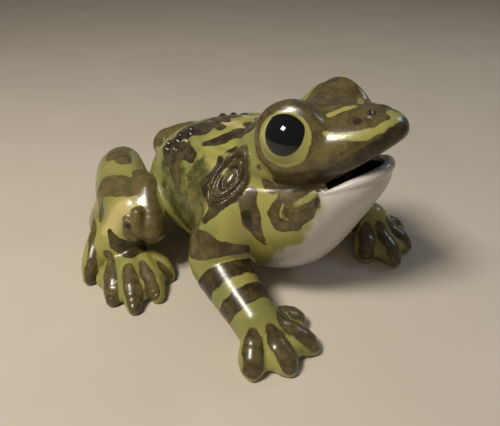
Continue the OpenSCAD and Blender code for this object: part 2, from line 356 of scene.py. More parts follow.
# Each step of the sculpting: (form, how softly it runs in, what it does, its box)
STEPS = [
    (trunk_form, 1, "add", trunk_form), (haunch_form, 7, "add", haunch_form),
    (jaw_part, 18, "add", jaw_form), (head_part, 7, "add", head_form),
    (foot_form, 14, "add", foot_form), (shank_form, 8, "add", shank_form),
    (knee_form, 3.5, "add", knee_form), (foreleg_form, 12, "add", foreleg_form),
    (hand_form, 7, "add", hand_form), (fold_form, 5, "add", fold_form),
    (ear_height, 0, "raise", Ball(EAR, 34)), (wart_form, 2, "add", wart_form),
    (mouth_space, 3, "cut", Ball(MOUTH_CORNER, 90)), (mouth_hollow, 3, "cut", head_hollow),
    (lip_form, 1.5, "add", lip_form), (lid_form, 7, "add", lid_form),
    (Ball(eye_centre + EYE_AXIS, EYE_R - 1.5), 3, "cut", lid_form),
    (eyeball_form, 2.0, "add", lid_form), (nostril_form, 2, "add", nostril_form),
    (Ball(NOSTRIL + 2.0 * nostril_axis, 2.6), 1.5, "cut", nostril_form),
    (under_table, 1.6, "cut", None),
]
STEP_LOW = np.array([(-FAR,) * 3 if s[3] is None else s[3].low for s in STEPS])
STEP_HIGH = np.array([(FAR,) * 3 if s[3] is None else s[3].high for s in STEPS])


def near_steps(low, high, margin):
    """Which steps of the sculpting can matter in a box."""
    gap = np.maximum(np.maximum(STEP_LOW - high, low - STEP_HIGH), 0)
    return np.flatnonzero(np.sqrt((gap ** 2).sum(1)) < margin)


def skin(p, active=None):
    """The distance to the figure's surface; a point of the right side counts as its mirror."""
    p = p.copy()
    p[:, 0] = np.abs(p[:, 0])
    low, high = p.min(0), p.max(0)
    d = np.full(len(p), FAR)
    for i in (range(len(STEPS)) if active is None else active):
        form, k, what, box = STEPS[i]
        if what == "add":
            if apart(box, low, high) < d.max() + k:
                d = soft_min(d, form(p), k)
        elif what == "cut":
            d = soft_max(d, -form(p), k)
        else:
            d = d - form(p)
    return d


def by_cell(fn, points, size=16.0, margin=CULL):
    """fn(points, active steps) over the points, one cell of space at a time."""
    folded = np.column_stack((np.abs(points[:, 0]), points[:, 1:]))
    key = np.floor(folded / size).astype(int)
    key -= key.min(0)
    span = key.max(0) + 1
    flat = (key[:, 0] * span[1] + key[:, 1]) * span[2] + key[:, 2]
    order = np.argsort(flat, kind="stable")
    out = None
    for part in np.split(order, np.flatnonzero(np.diff(flat[order])) + 1):
        active = near_steps(folded[part].min(0), folded[part].max(0), margin)
        value = fn(points[part], active)
        if out is None:
            out = np.empty((len(points),) + value.shape[1:])
        out[part] = value
    return out


def field_grid(low, high):
    """The skin's distance on a grid over the left half, only near the surface; nan elsewhere."""
    cells = np.ceil((high - low) / GRID / BLOCK).astype(int)
    where = np.stack(np.meshgrid(*[np.arange(n) for n in cells], indexing="ij"), -1).reshape(-1, 3)
    centre = low + (where + 0.5) * BLOCK * GRID
    reach = BLOCK * GRID * 0.9
    d = by_cell(skin, centre, 32.0, 40.0)
    grid = np.full(cells * BLOCK + 1, np.nan)
    corner = np.arange(BLOCK + 1)
    steps = np.stack(np.meshgrid(corner, corner, corner, indexing="ij"), -1).reshape(-1, 3)
    for b in where[np.abs(d) < reach * 1.5 + 3]:
        index = b * BLOCK + steps
        p = low + index * GRID
        grid[tuple(index.T)] = skin(p, near_steps(p.min(0), p.max(0), CULL))
    return grid


CORNERS = [(a, b, c) for a in (0, 1) for b in (0, 1) for c in (0, 1)]


def net_points(grid, low, cell):
    """A point in each cell, amid the places where the cell's edges cross the surface."""
    value = [grid[tuple((cell + c).T)] for c in CORNERS]
    place, hits = np.zeros((len(cell), 3)), np.zeros(len(cell))
    for u in range(8):
        for w in range(u + 1, 8):
            step = np.subtract(CORNERS[w], CORNERS[u])
            if np.abs(step).sum() != 1:
                continue
            cross = (value[u] < 0) != (value[w] < 0)
            t = value[u][cross] / (value[u][cross] - value[w][cross])
            place[cross] += CORNERS[u] + t[:, None] * step
            hits[cross] += 1
    return low + (cell + place / hits[:, None]) * GRID


def net_quads(grid, index, axis):
    """A quad, facing outwards, round each grid edge along an axis that crosses the surface."""
    n = np.array(index.shape)
    one = np.eye(3, dtype=int)
    first = grid[tuple(slice(0, -1) if k == axis else slice(None) for k in range(3))]
    second = grid[tuple(slice(1, None) if k == axis else slice(None) for k in range(3))]
    cross = ((first < 0) != (second < 0)) & ~np.isnan(first) & ~np.isnan(second)
    at, outward = np.argwhere(cross), second[cross] > 0
    o1, o2 = one[(axis + 1) % 3], one[(axis + 2) % 3]
    around = [at, at - o1, at - o1 - o2, at - o2]
    ok = np.all([((c >= 0) & (c < n)).all(1) for c in around], axis=0)
    quad = np.stack([index[tuple(c[ok].T)] for c in around], 1)
    quad[~outward[ok]] = quad[~outward[ok]][:, ::-1]
    return quad[(quad >= 0).all(1)]


def net(grid, low):
    """A closed mesh of quads where the grid's distance changes sign, one point a cell."""
    nx, ny, nz = np.array(grid.shape) - 1

    def seen_from(values, c):
        return values[c[0]:c[0] + nx, c[1]:c[1] + ny, c[2]:c[2] + nz]

    count = sum(seen_from(grid < 0, c).astype(np.int8) for c in CORNERS)
    whole = np.all([seen_from(~np.isnan(grid), c) for c in CORNERS], axis=0)
    active = whole & (count > 0) & (count < 8)
    cell = np.argwhere(active)
    index = np.full(active.shape, -1)
    index[active] = np.arange(len(cell))
    quads = [net_quads(grid, index, axis) for axis in range(3)]
    return net_points(grid, low, cell), np.vstack(quads)


def sculpted():
    """The whole skin: points, outward normals and triangles, in the sculpting frame."""
    low = np.array((0.0, -154.0, -2.0 * GRID))
    high = np.array((168.0, 200.0, 202.0))
    half = field_grid(low, high)
    grid = np.concatenate((half[:0:-1], half))
    low = low - ((half.shape[0] - 1) * GRID, 0, 0)
    points, quads = net(grid, low)

    def pulled(p, active):
        return p - slope(lambda q: skin(q, active), p) * skin(p, active)[:, None]

    points = by_cell(pulled, points)
    normals = by_cell(lambda p, active: slope(lambda q: skin(q, active), p), points)
    normals /= np.maximum(np.linalg.norm(normals, axis=1, keepdims=True), 1e-9)
    return points, normals, np.vstack((quads[:, (0, 1, 2)], quads[:, (0, 2, 3)]))


# ---------------------------------------------------------------- the brushwork
# A stroke is (kind, darkness, its points as x, y, z and half width). Kinds: "coat" is the
# olive-brown glaze, "bare" wipes it back to the green ground, "dark" is the blackish
# second coat, "spot" the same on the right side only, "flank" the mottled green and "warm"
# the yellower ground, which also gives the cream of the painted highlights. A later stroke
# lies over an earlier one.
PUPIL_AIM = np.array((0.75, -0.25, 0.61))
PUPIL_R = 17.4
PUPIL_SQUEEZE = 0.88                  # its width over its height
LID_PAINT_R = 29.0
STROKE_DEPTH = 2.2                    # mm that a stroke still reaches under or over its points
LEG_BANDS = [(25, 44, 0.45), (58, 82, 0.85), (89, 108, 0.8)]     # mm along the leg, darkness
PAINT_REACH = 12.0                    # mm within which the distance to a glaze's edge is kept
PAINT_KEYS = ("coat", "tone", "dark", "flank", "warm", "white", "pupil", "throat")
STROKES = [
    # the haunch: its cap, its band with a tail, the pale patch and the crescent under it
    ("coat", 0.2, [(64, 144, 88, 11), (50, 158, 85, 13), (36, 172, 79, 14), (26, 172, 74, 12)]),
    ("coat", 0.22, [(108, 113, 72, 7), (103, 108, 82, 11), (98, 91, 88, 14), (90, 77, 88, 13)]),
    ("coat", 0.3, [(111, 108, 70, 8), (116, 103, 60, 6), (120, 99, 52, 2)]),
    ("warm", 1, [(110, 68, 75, 8.8), (119, 77, 59, 8.9), (126, 84, 50, 4)]),
    ("coat", 0.7, [(124, 77, 50, 2), (126, 67, 41, 6), (118, 57, 33, 9), (106, 54, 32, 6),
                   (108, 42, 48, 2)]),
    # the toes, from the outermost in
    ("coat", 0.4, [(115, 120, 47, 3.4), (127, 102, 42, 4.1), (151, 81, 15, 6), (156, 78, 6, 5.3)]),
    ("coat", 0.4, [(134, 72, 29, 5), (144, 57, 24, 7), (154, 42, 15, 8), (158, 36, 4, 7)]),
    ("coat", 0.4, [(132, 43, 27, 5), (139, 29, 22, 8), (146, 16, 12, 8), (150, 10, 3, 6)]),
    ("coat", 0.4, [(118, 40, 24, 4), (123, 25, 20, 7), (128, 12, 10, 7)]),
    ("coat", 0.4, [(103, 40, 20, 3), (105, 28, 15, 6), (103, 20, 8, 5)]),
    # between the haunch and the back: a faint band with a bare stripe beside it
    ("coat", 0.3, [(20, 172, 66, 5), (46, 98, 101, 6), (74, 74, 107, 5), (81, 73, 99, 5)]),
    ("bare", 0, [(49, 76, 109, 2.1), (67, 59, 96, 2.8), (77, 51, 83, 2.8), (83, 41, 66, 2)]),
    # the mottling of the flank
    ("flank", 1, [(56, 52, 112, 16), (72, 32, 99, 20), (80, 11, 79, 19), (84, -6, 64, 13)]),
    ("flank", 1, [(62, 6, 118, 13), (76, -6, 104, 14), (84, -7, 84, 15)]),
    # the wart patch and the brown below it, with bare gaps
    ("coat", 0.85, [(46, 66, 117, 11), (36, 64, 126, 13), (30, 49, 132, 13), (26, 34, 138, 8)]),
    ("coat", 0.75, [(54, 54, 114, 11), (50, 38, 124, 10), (55, 22, 124, 7)]),
    ("coat", 0.6, [(65, 39, 111, 7), (72, 25, 104, 5)]),
    ("bare", 0, [(50, 9, 136, 4), (60, 10, 124, 4.7), (64, 11, 119, 2.6)]),
    ("bare", 0, [(74, 4, 103, 2.6), (79, 9, 90, 3), (77, -6, 100, 2.2)]),
    # round the eardrum: above it, down its rear side, and the tail below it
    ("coat", 0.85, [(44, 12, 137, 6), (35, 2, 142, 7), (24, -6, 147, 7), (31, -28, 160, 5)]),
    ("coat", 0.85, [(42, -19, 142, 2.5), (53, -12, 133, 3.2), (64, -13, 125, 3.9),
                   (69, -7, 113, 3.6), (77, -12, 110, 4.2), (78, -18, 107, 1.4)]),
    ("coat", 0.7, [(68, -43, 117, 6), (76, -35, 111, 6), (85, -30, 103, 6), (88, -25, 92, 3)]),
    # the back beside its middle, with a cream patch that is partly bare ground and partly a painted
    # highlight
    ("coat", 0.75, [(14, 62, 131, 6), (14, 48, 136, 6), (14, 33, 140, 5), (21, 16, 143, 4)]),
    ("warm", 1, [(14, 22, 144, 4.6), (10, 12, 146, 5), (16, -1, 148, 2.6)]),
    ("coat", 0.7, [(1, 56, 135, 5), (1, 43, 139, 5), (6, 25, 144, 4)]),
    # the lid and the brow
    ("coat", 0.5, [(39, -80, 195, 3.9), (36, -92, 191, 4.2), (38, -100, 183, 4.2),
                   (43, -98, 178, 3.2)]),
    # the neck patch, its dark core, and a touch under the lid
    ("coat", 0.5, [(57, -52, 117, 5.2), (64, -54, 107, 7.8), (66, -60, 95, 8.2),
                   (63, -66, 82, 4.2), (60, -70, 75, 1.9)]),
    ("dark", 0.5, [(68, -55, 101, 3.7), (68, -58, 93, 2.2)]),
    ("coat", 0.5, [(50, -62, 128, 3.6), (47, -68, 121, 4.7)]),
    # the cheek: its fill, the ring round it, the dark core, the bare slash and a dark run
    ("coat", 0.35, [(49, -87, 109, 7.2), (45, -99, 121, 5.3)]),
    ("coat", 0.5, [(40, -102, 133, 2.4), (42, -88, 124, 4.3), (47, -76, 115, 5.5),
                   (54, -74, 104, 6.2), (54, -80, 96, 6.3), (49, -92, 99, 6.2),
                   (46, -102, 113, 5.3), (43, -107, 126, 2.8)]),
    ("dark", 0.6, [(52, -81, 101, 4), (48, -91, 109, 1.8)]),
    ("bare", 0, [(50, -82, 105, 0.5), (46, -91, 117, 1.8), (44, -100, 125, 1.6),
                   (42, -104, 130, 0.7)]),
    ("dark", 0.9, [(42, -107, 130, 1.2), (44, -109, 122, 1.6)]),
    # spots under the lid
    ("dark", 0.8, [(53, -57, 142, 2.5)]),
    ("dark", 0.8, [(48, -71, 133, 2.9), (46, -76, 133, 1.8)]),
    # the snout: an olive sweep, three bare stripes, and the dark band of the upper lip
    ("coat", 0.15, [(57, -75, 150, 3.4), (52, -93, 152, 4.3), (44, -106, 165, 4.2),
                   (36, -120, 175, 3.2)]),
    ("bare", 0, [(37, -104, 179, 1), (33, -116, 179, 2.2), (25, -131, 182, 3.4),
                   (17, -138, 186, 2.2), (11, -140, 190, 1.2)]),
    ("bare", 0, [(23, -99, 187, 2), (10, -106, 191, 2.3), (5, -109, 191, 2)]),
    ("bare", 0, [(10, -142, 190, 1.2), (2, -142, 192, 3.1), (2, -137, 193, 1.6)]),
    ("coat", 1.0, [(1, -149, 187, 5), (11, -148, 182, 6), (20, -142, 175, 6.5),
                   (29, -134, 168, 6.5), (35, -125, 160, 6), (39, -112, 147, 6),
                   (40, -100, 137, 4)]),
    # the back's middle, the rump, the nape, the haunch's rear end and cap, behind the warts
    ("coat", 0.75, [(2, 48, 138, 4), (6, 32, 142, 4), (8, 20, 144, 2)]),
    ("coat", 0.6, [(3, 84, 112, 7), (22, 88, 112, 6)]),
    ("coat", 0.6, [(8, -4, 150, 4), (25, -27, 161, 5), (12, -40, 166, 6)]),
    ("coat", 0.6, [(18, 184, 62, 9), (34, 194, 60, 9), (50, 186, 58, 8)]),
    ("coat", 0.2, [(56, 142, 89, 10), (66, 124, 91, 9)]),
    ("coat", 0.7, [(20, 70, 124, 9), (8, 74, 122, 9)]),
    # the painted highlight on the eardrum: a slash wiped bare and tinted cream
    ("bare", 0, [(56, -24, 130, 0.3), (59, -23, 127, 1.8), (62, -23, 122, 0.3)]),
    ("warm", 1, [(58, -24, 129, 1), (61, -23, 124, 1)]),
    # the nostril, the spot beside it, the warts, and the scribble on the knee
    ("dark", 0.8, [(9, -126, 193, 3.2)]),
    ("spot", 0.8, [(20, -121, 188, 3)]),
    ("dark", 0.6, [(46, 66, 117, 6), (36, 63, 126, 8), (30, 48, 133, 7)]),
    ("dark", 0.4, [(118, 56, 64, 0.8), (112, 50, 62, 1.2), (112, 56, 52, 1.2)]),
]
# The white of the throat and belly: this side of a plane through its edge, then under the trunk
WHITE_EDGE = [(43, -111, 137), (43, -111, 120), (46, -104, 105), (47, -93, 87), (55, -80, 79),
              (56, -70, 64), (50, -58, 46), (44, -20, 24), (40, 40, 18), (20, 90, 22)]
# No white is above this height: y against z
WHITE_TOP = ((-160, -112, -80, -58, -30, 200), (195, 141, 112, 72, 45, 30))


def stroke_distance(p, points):
    """How far outside a stroke each point is, in mm."""
    best = np.full(len(p), FAR)
    rows = np.array(points, float)
    rows[:, 3] = np.hypot(rows[:, 3], STROKE_DEPTH)
    if len(rows) == 1:
        return np.sqrt(((p - rows[0, :3]) ** 2).sum(1)) - rows[0, 3]
    for a, b in zip(rows[:-1], rows[1:]):
        step = (b - a)[:3]
        t = np.clip((p - a[:3]) @ step / (step @ step), 0, 1)
        q = p - a[:3] - t[:, None] * step
        best = np.minimum(best, np.sqrt((q * q).sum(1)) - a[3] - t * (b[3] - a[3]))
    return best


def along_leg(p):
    """How far down the foreleg's beads a point is, in mm, with no kink at the elbow."""
    rows = np.array(FORELEG, float)[:, :3]
    total, weight, start = np.zeros(len(p)), np.zeros(len(p)) + 1e-9, 0.0
    for a, b in zip(rows[:-1], rows[1:]):
        length = math.dist(a, b)
        t = np.clip((p - a) @ (b - a) / length ** 2, 0, 1)
        q = p - a - t[:, None] * (b - a)
        w = np.exp(-np.sqrt((q * q).sum(1)) / 3.0)
        total += w * (start + t * length)
        weight += w
        start += length
    return total / weight


def digit_strokes(digits, pad_r, first, widths, lift):
    """A long oval of glaze down the top of each digit."""
    out = []
    for x, y, z, tx, ty in digits:
        points = []
        for f, w in zip((first, 0.35, 0.7, 1.0), widths):
            top = z * (1 - f) + TIP_Z * f + pad_r * lift * (1 - 0.45 * max(f, 0))
            points.append((x + (tx - x) * f, y + (ty - y) * f, top, w))
        out.append(("coat", 0.5, points))
    return out


def white_side(p):
    """How far a point is outside the white of the throat and belly, in mm."""
    edge = np.array(WHITE_EDGE, float)
    best, out = np.full(len(p), FAR), np.full(len(p), FAR)
    for a, b in zip(edge[:-1], edge[1:]):
        step = b - a
        t = np.clip((p - a) @ step / (step @ step), 0, 1)[:, None]
        q = p - a - t * step
        d = np.sqrt((q * q).sum(1))
        outward = np.cross(step, (0.0, 0.75, 0.66) if a[1] < -60 else (0.0, 0.3, 0.95))
        side = q @ (outward * np.sign(outward[0]) / np.linalg.norm(outward))
        closer = d < best
        best[closer] = d[closer]
        out[closer] = side[closer]
    return np.maximum(out, p[:, 2] - np.interp(p[:, 1], *WHITE_TOP))


def pupil_edge(eye):
    """How far outside the oval pupil a point of the eyeball is, in mm; eye is from its centre."""
    aim = PUPIL_AIM / np.linalg.norm(PUPIL_AIM)
    across = np.cross(aim, (0.0, 0.0, 1.0))
    across /= np.linalg.norm(across)
    wide, tall = eye @ across / PUPIL_SQUEEZE, eye @ np.cross(across, aim)
    return np.where(eye @ aim > 0, np.sqrt(wide * wide + tall * tall), FAR) - PUPIL_R


class Coats:
    """The brown coats as they are laid: how far off their edge a point is, and how dark."""

    def __init__(self, edge):
        self.edge, self.tone = edge, np.full(len(edge), 0.5)

    def lay(self, d, darkness):
        """Lays one more coat, given how far outside it each point is."""
        cover = np.clip(0.5 - d / 1.5, 0, 1)
        share = np.where(self.edge > 0, d < np.maximum(self.edge, 0) + 1, cover)
        self.tone = self.tone + (darkness - self.tone) * share
        self.edge = np.minimum(self.edge, d)


def lay_forms(coats, q, ear):
    """The coats that follow a form: the eardrum, the foreleg's bands and the haunch's folds."""
    coats.lay(ear, 0.5)
    bands = along_leg(q)
    on_leg = foreleg_form(q) < 3
    for low, high, darkness in LEG_BANDS:
        d = np.maximum(low - bands, bands - high)
        coats.lay(np.where(on_leg, d, PAINT_REACH), darkness)
    coats.lay(shank_form(q) - 3.0, 0.3)
    coats.lay(knee_form(q) - 1.5, 0.1)


def lay_strokes(coats, p, q):
    """The strokes in turn; gives how far each point is outside the other kinds' edges."""
    other = {kind: np.full(len(q), PAINT_REACH) for kind in ("dark", "flank", "warm")}
    fingers = digit_strokes(FINGERS, FINGER_R, -0.15, (3, 8, 9, 8.5), 0.9)
    for kind, darkness, points in fingers + STROKES:
        d = stroke_distance(q, points)
        if kind == "coat":
            coats.lay(d, darkness)
        elif kind == "bare":
            coats.edge = np.maximum(coats.edge, -d)
        elif kind == "spot":
            other["dark"] = np.minimum(other["dark"], stroke_distance(p * (-1, 1, 1), points))
        else:
            other[kind] = np.minimum(other[kind], d)
    return other["dark"], other["flank"], other["warm"]


def painted(p, active):
    """The paint at each point: distances to the edges of each glaze, and how dark it is."""
    wobble = 0.7 * np.sin(p[:, 0] * 0.31 + p[:, 2] * 0.17) * np.sin(p[:, 1] * 0.27 - p[:, 0] * 0.11)
    q = np.column_stack((np.abs(p[:, 0]), p[:, 1:]))
    eye = q - eye_centre
    along = eye @ EYE_AXIS
    out = np.sqrt(np.maximum((eye * eye).sum(1) - along * along, 0))
    lid = np.where(along > -14, out - LID_PAINT_R, 30.0)
    # The face is brown in front of a plane that leans forward as it goes down
    face = np.maximum(q[:, 1] + 66 - 0.25 * (q[:, 2] - 150), -lip_side(q) - 3)
    share, _ = ear_share(q)
    ear = (share - 1.0) * EAR_HALF_W
    coats = Coats(np.minimum(lid, face))
    lay_forms(coats, q, ear)
    dark, flank, warm = lay_strokes(coats, p, q)
    # Dark touches in the two grooves of the eardrum's relief
    grooves = np.minimum(np.abs(share - 0.70), np.abs(share - 0.36)) - 0.06
    dark = np.where(ear < 2, np.minimum(dark, grooves * EAR_HALF_W * 1.4), dark)
    lip = lip_form(q)
    # No brown on the eyeball or on the lip
    clean = np.maximum(np.where(along > 2, 21.3 - out, -PAINT_REACH), 1.0 - lip)
    coat = np.maximum(coats.edge, clean)
    dark = np.maximum(dark, clean)
    throat = np.maximum(np.minimum(mouth_hollow(q), mouth_space(q) + 3) - 1.2, 1.0 - lip)
    white = np.minimum(white_side(q), lip - 1.0)
    paint = np.stack((coat + wobble, coats.tone, dark + 0.5 * wobble, flank, warm, white + wobble,
                      pupil_edge(eye), throat), 1)
    return np.clip(paint, -PAINT_REACH, PAINT_REACH)


# ---------------------------------------------------------------- the pieces
class Lens:
    """A flat oval patch about a frame, for what is pressed on the surface."""

    def __init__(self, share, r):
        self.share, self.r = share, r

    def __call__(self, p):
        share, up = self.share(p)
        return np.maximum((share - 1.0) * self.r, np.abs(up) - 14)


# Each visible piece: (name, form, how far it wins over its neighbours in mm, two-sided)
PIECES = [
    ("trunk_shell", trunk_form, 0, False), ("head_shell", head_part, 0, False),
    ("lower_jaw", jaw_part, 0, False), ("lower_lip", lip_form, 1.5, False),
    ("eyeball", eyeball_form, 0.5, True), ("eyelid", lid_form, 1.2, True),
    ("nostril", nostril_form, 1.5, True), ("eardrum", Lens(ear_share, 17.0), 12, True),
    ("back_warts", wart_form, 1.5, False), ("back_fold", fold_form, 1.5, True),
    ("foreleg", foreleg_form, 0, True), ("hand", hand_form, 0, True),
    ("haunch", haunch_form, 0, True), ("shank", shank_form, 1.0, True),
    ("knee_fold", knee_form, 1.0, True), ("hind_foot", foot_form, 0, True),
]


def piece_fields(points, active):
    """For every point, how near it is to each piece's own form."""
    folded = np.column_stack((np.abs(points[:, 0]), points[:, 1:]))
    return np.array([form(folded) - lead for _, form, lead, _ in PIECES]).T


def split(points, triangles, fields):
    """The triangles cut where two pieces' fields are equal.

    Gives the points it adds (each a share of the way between two old ones, or the middle of a
    triangle), then the piece and the corners of every triangle.
    """
    label = fields.argmin(1)
    edges = np.sort(np.vstack((triangles[:, (0, 1)], triangles[:, (1, 2)], triangles[:, (2, 0)])), 1)
    cut = label[edges[:, 0]] != label[edges[:, 1]]
    code = edges[:, 0] * len(points) + edges[:, 1]
    unique, first = np.unique(code[cut], return_index=True)
    a, b = edges[cut][first].T
    gap_a = fields[a, label[b]] - fields[a, label[a]]
    gap_b = fields[b, label[a]] - fields[b, label[b]]
    share = np.clip(gap_a / np.maximum(gap_a + gap_b, 1e-9), 0.04, 0.96)
    new_id = np.full(len(code), -1)
    new_id[cut] = len(points) + np.searchsorted(unique, code[cut])
    mid = new_id.reshape(3, -1).T              # the new point on each triangle's three edges
    corner = label[triangles]
    pieces, rows = [], []

    def emit(piece, *ids):
        pieces.append(piece)
        rows.append(np.column_stack(ids))

    whole = (mid < 0).all(1)
    emit(corner[whole, 0], *triangles[whole].T)
    n_cut = (mid >= 0).sum(1)
    for k in range(3):                          # k is the corner that differs from the other two
        odd = (n_cut == 2) & (mid[:, (k + 1) % 3] < 0)
        t, m, c = triangles[odd], mid[odd], corner[odd]
        v0, v1, v2 = t[:, k], t[:, (k + 1) % 3], t[:, (k + 2) % 3]
        e0, e2 = m[:, k], m[:, (k + 2) % 3]
        emit(c[:, k], v0, e0, e2)
        emit(c[:, (k + 1) % 3], e0, v1, v2)
        emit(c[:, (k + 1) % 3], e0, v2, e2)
    three = n_cut == 3
    t, m, c = triangles[three], mid[three], corner[three]
    centre = len(points) + len(unique) + np.arange(len(t))
    for k in range(3):
        emit(c[:, k], t[:, k], m[:, k], centre)
        emit(c[:, k], t[:, k], centre, m[:, (k + 2) % 3])
    return (a, b, share, t), np.concatenate(pieces), np.vstack(rows)


def extended(values, added):
    """Values at the old points, followed by those at the points that split made."""
    a, b, share, t = added
    share = share.reshape((-1,) + (1,) * (values.ndim - 1))
    return np.concatenate((values, values[a] * (1 - share) + values[b] * share, values[t].mean(1)))


def rims(triangles):
    """The closed loops of points round the triangles' open edges."""
    edge = np.vstack((triangles[:, (0, 1)], triangles[:, (1, 2)], triangles[:, (2, 0)]))
    top = edge.max() + 1
    code = edge[:, 0] * top + edge[:, 1]
    back = edge[:, 1] * top + edge[:, 0]
    follow = {}
    for u, v in edge[~np.isin(code, back)]:
        follow.setdefault(int(v), []).append(int(u))
    loops = []
    while follow:
        start = next(iter(follow))
        loop, at = [], start
        while at in follow:
            loop.append(at)
            after = follow[at].pop()
            if not follow[at]:
                del follow[at]
            at = after
            if at == start:
                break
        if at == start and len(loop) > 2:
            loops.append(loop)
    return loops


def closed(points, normals, triangles):
    """The triangles with a shallow cone over each open rim, where that stays inside the clay."""
    tips, caps = [], []
    for loop in rims(triangles):
        rim = points[loop]
        centre = rim.mean(0)
        inward = -normals[loop].mean(0)
        tip = centre + inward * np.sqrt(((rim - centre) ** 2).sum(1)).mean() * 0.4
        reach = np.sqrt(((rim - tip) ** 2).sum(1))
        if reach.mean() > WIDEST_CAP:
            continue
        deep = [skin(rim * (1 - f) + tip * f) + 0.1 * f * reach
                for f in (0.05, 0.15, 0.35, 0.65, 1.0)]
        if np.max(deep) > 0:
            continue
        at = len(points) + len(tips)
        tips.append(tip)
        caps.append(np.column_stack((loop, np.roll(loop, -1), np.full(len(loop), at))))
    if not tips:
        return points, triangles
    return np.vstack((points, tips)), np.vstack((triangles, *caps))


def add_piece(name, points, normals, triangles, paint):
    """One piece of the skin as an object, with its paint carried on its points."""
    used, rows = np.unique(triangles, return_inverse=True)
    solid, rows = closed(points[used], normals[used], rows.reshape(-1, 3))
    extra = len(solid) - len(used)
    mesh = bpy.data.meshes.new(name)
    mesh.from_pydata(placed(solid).tolist(), [], rows.tolist())
    mesh.polygons.foreach_set("use_smooth", np.ones(len(rows), bool))
    for key, values in paint.items():
        data = mesh.attributes.new(key, "FLOAT", "POINT").data
        data.foreach_set("value", np.append(values[used], np.zeros(extra)).astype(np.float32))
    normals = np.vstack((normals[used], np.tile((0.0, 0.0, 1.0), (extra, 1))))
    mesh.normals_split_custom_set_from_vertices(normals.tolist())
    piece = bpy.data.objects.new(name, mesh)
    bpy.context.collection.objects.link(piece)
    return piece


def placed(p):
    """Sculpting millimetres to metres in the row frame: the rump ends where the CAD's box ends."""
    return (p - (0, HAUNCH[0][1] + HAUNCH[0][3], 0)) * MM + (0, cad_box[1][1], 0)


# ---------------------------------------------------------------- the glazes
GREEN, YELLOW_GREEN = (0.22, 0.235, 0.066), (0.36, 0.33, 0.088)
# the yellower ground, and also the cream of the painted highlights
WARM_GROUND_AND_HIGHLIGHT = (0.56, 0.47, 0.19)
FLANK_DARK, FLANK_LIGHT = (0.035, 0.037, 0.009), (0.13, 0.125, 0.035)
OLIVE, BROWN, BLACK_BROWN = (0.155, 0.120, 0.040), (0.026, 0.018, 0.006), (0.016, 0.010, 0.007)
WHITE = (0.62, 0.585, 0.54)
RING, PUPIL = (0.42, 0.40, 0.15), (0.004, 0.004, 0.005)
THROAT = (0.13, 0.075, 0.025)


class Shader:
    """Short calls that add nodes to a material."""

    def __init__(self, material):
        material.use_nodes = True
        self.tree = material.node_tree
        self.surface = self.tree.nodes["Principled BSDF"]
        self.place = self.tree.nodes.new("ShaderNodeTexCoord").outputs["Object"]

    def put(self, socket, value):
        """Links another node's output to a socket, or sets a constant on it."""
        if isinstance(value, bpy.types.NodeSocket):
            self.tree.links.new(value, socket)
        else:
            socket.default_value = (*value, 1.0) if isinstance(value, tuple) else value

    def paint(self, key):
        """The paint that the points carry under a name."""
        n = self.tree.nodes.new("ShaderNodeAttribute")
        n.attribute_name = key
        return n.outputs["Fac"]

    def noise(self, scale, detail=3.0):
        n = self.tree.nodes.new("ShaderNodeTexNoise")
        self.put(n.inputs["Scale"], scale)
        self.put(n.inputs["Detail"], detail)
        self.put(n.inputs["Vector"], self.place)
        return n.outputs["Fac"]

    def math(self, kind, a, b, clamp=False):
        n = self.tree.nodes.new("ShaderNodeMath")
        n.operation, n.use_clamp = kind, clamp
        self.put(n.inputs[0], a)
        self.put(n.inputs[1], b)
        return n.outputs[0]

    def span(self, value, low, high, to_low=0.0, to_high=1.0):
        """A value's range eased into another range."""
        n = self.tree.nodes.new("ShaderNodeMapRange")
        n.interpolation_type = "SMOOTHSTEP"
        for socket, v in zip(n.inputs, (value, low, high, to_low, to_high)):
            self.put(socket, v)
        return n.outputs[0]

    def mix(self, share, a, b):
        """Colour a turning into colour b as the share goes from 0 to 1."""
        n = self.tree.nodes.new("ShaderNodeMix")
        n.data_type = "RGBA"
        self.put(n.inputs[0], share)
        self.put(n.inputs[6], a)
        self.put(n.inputs[7], b)
        return n.outputs[2]


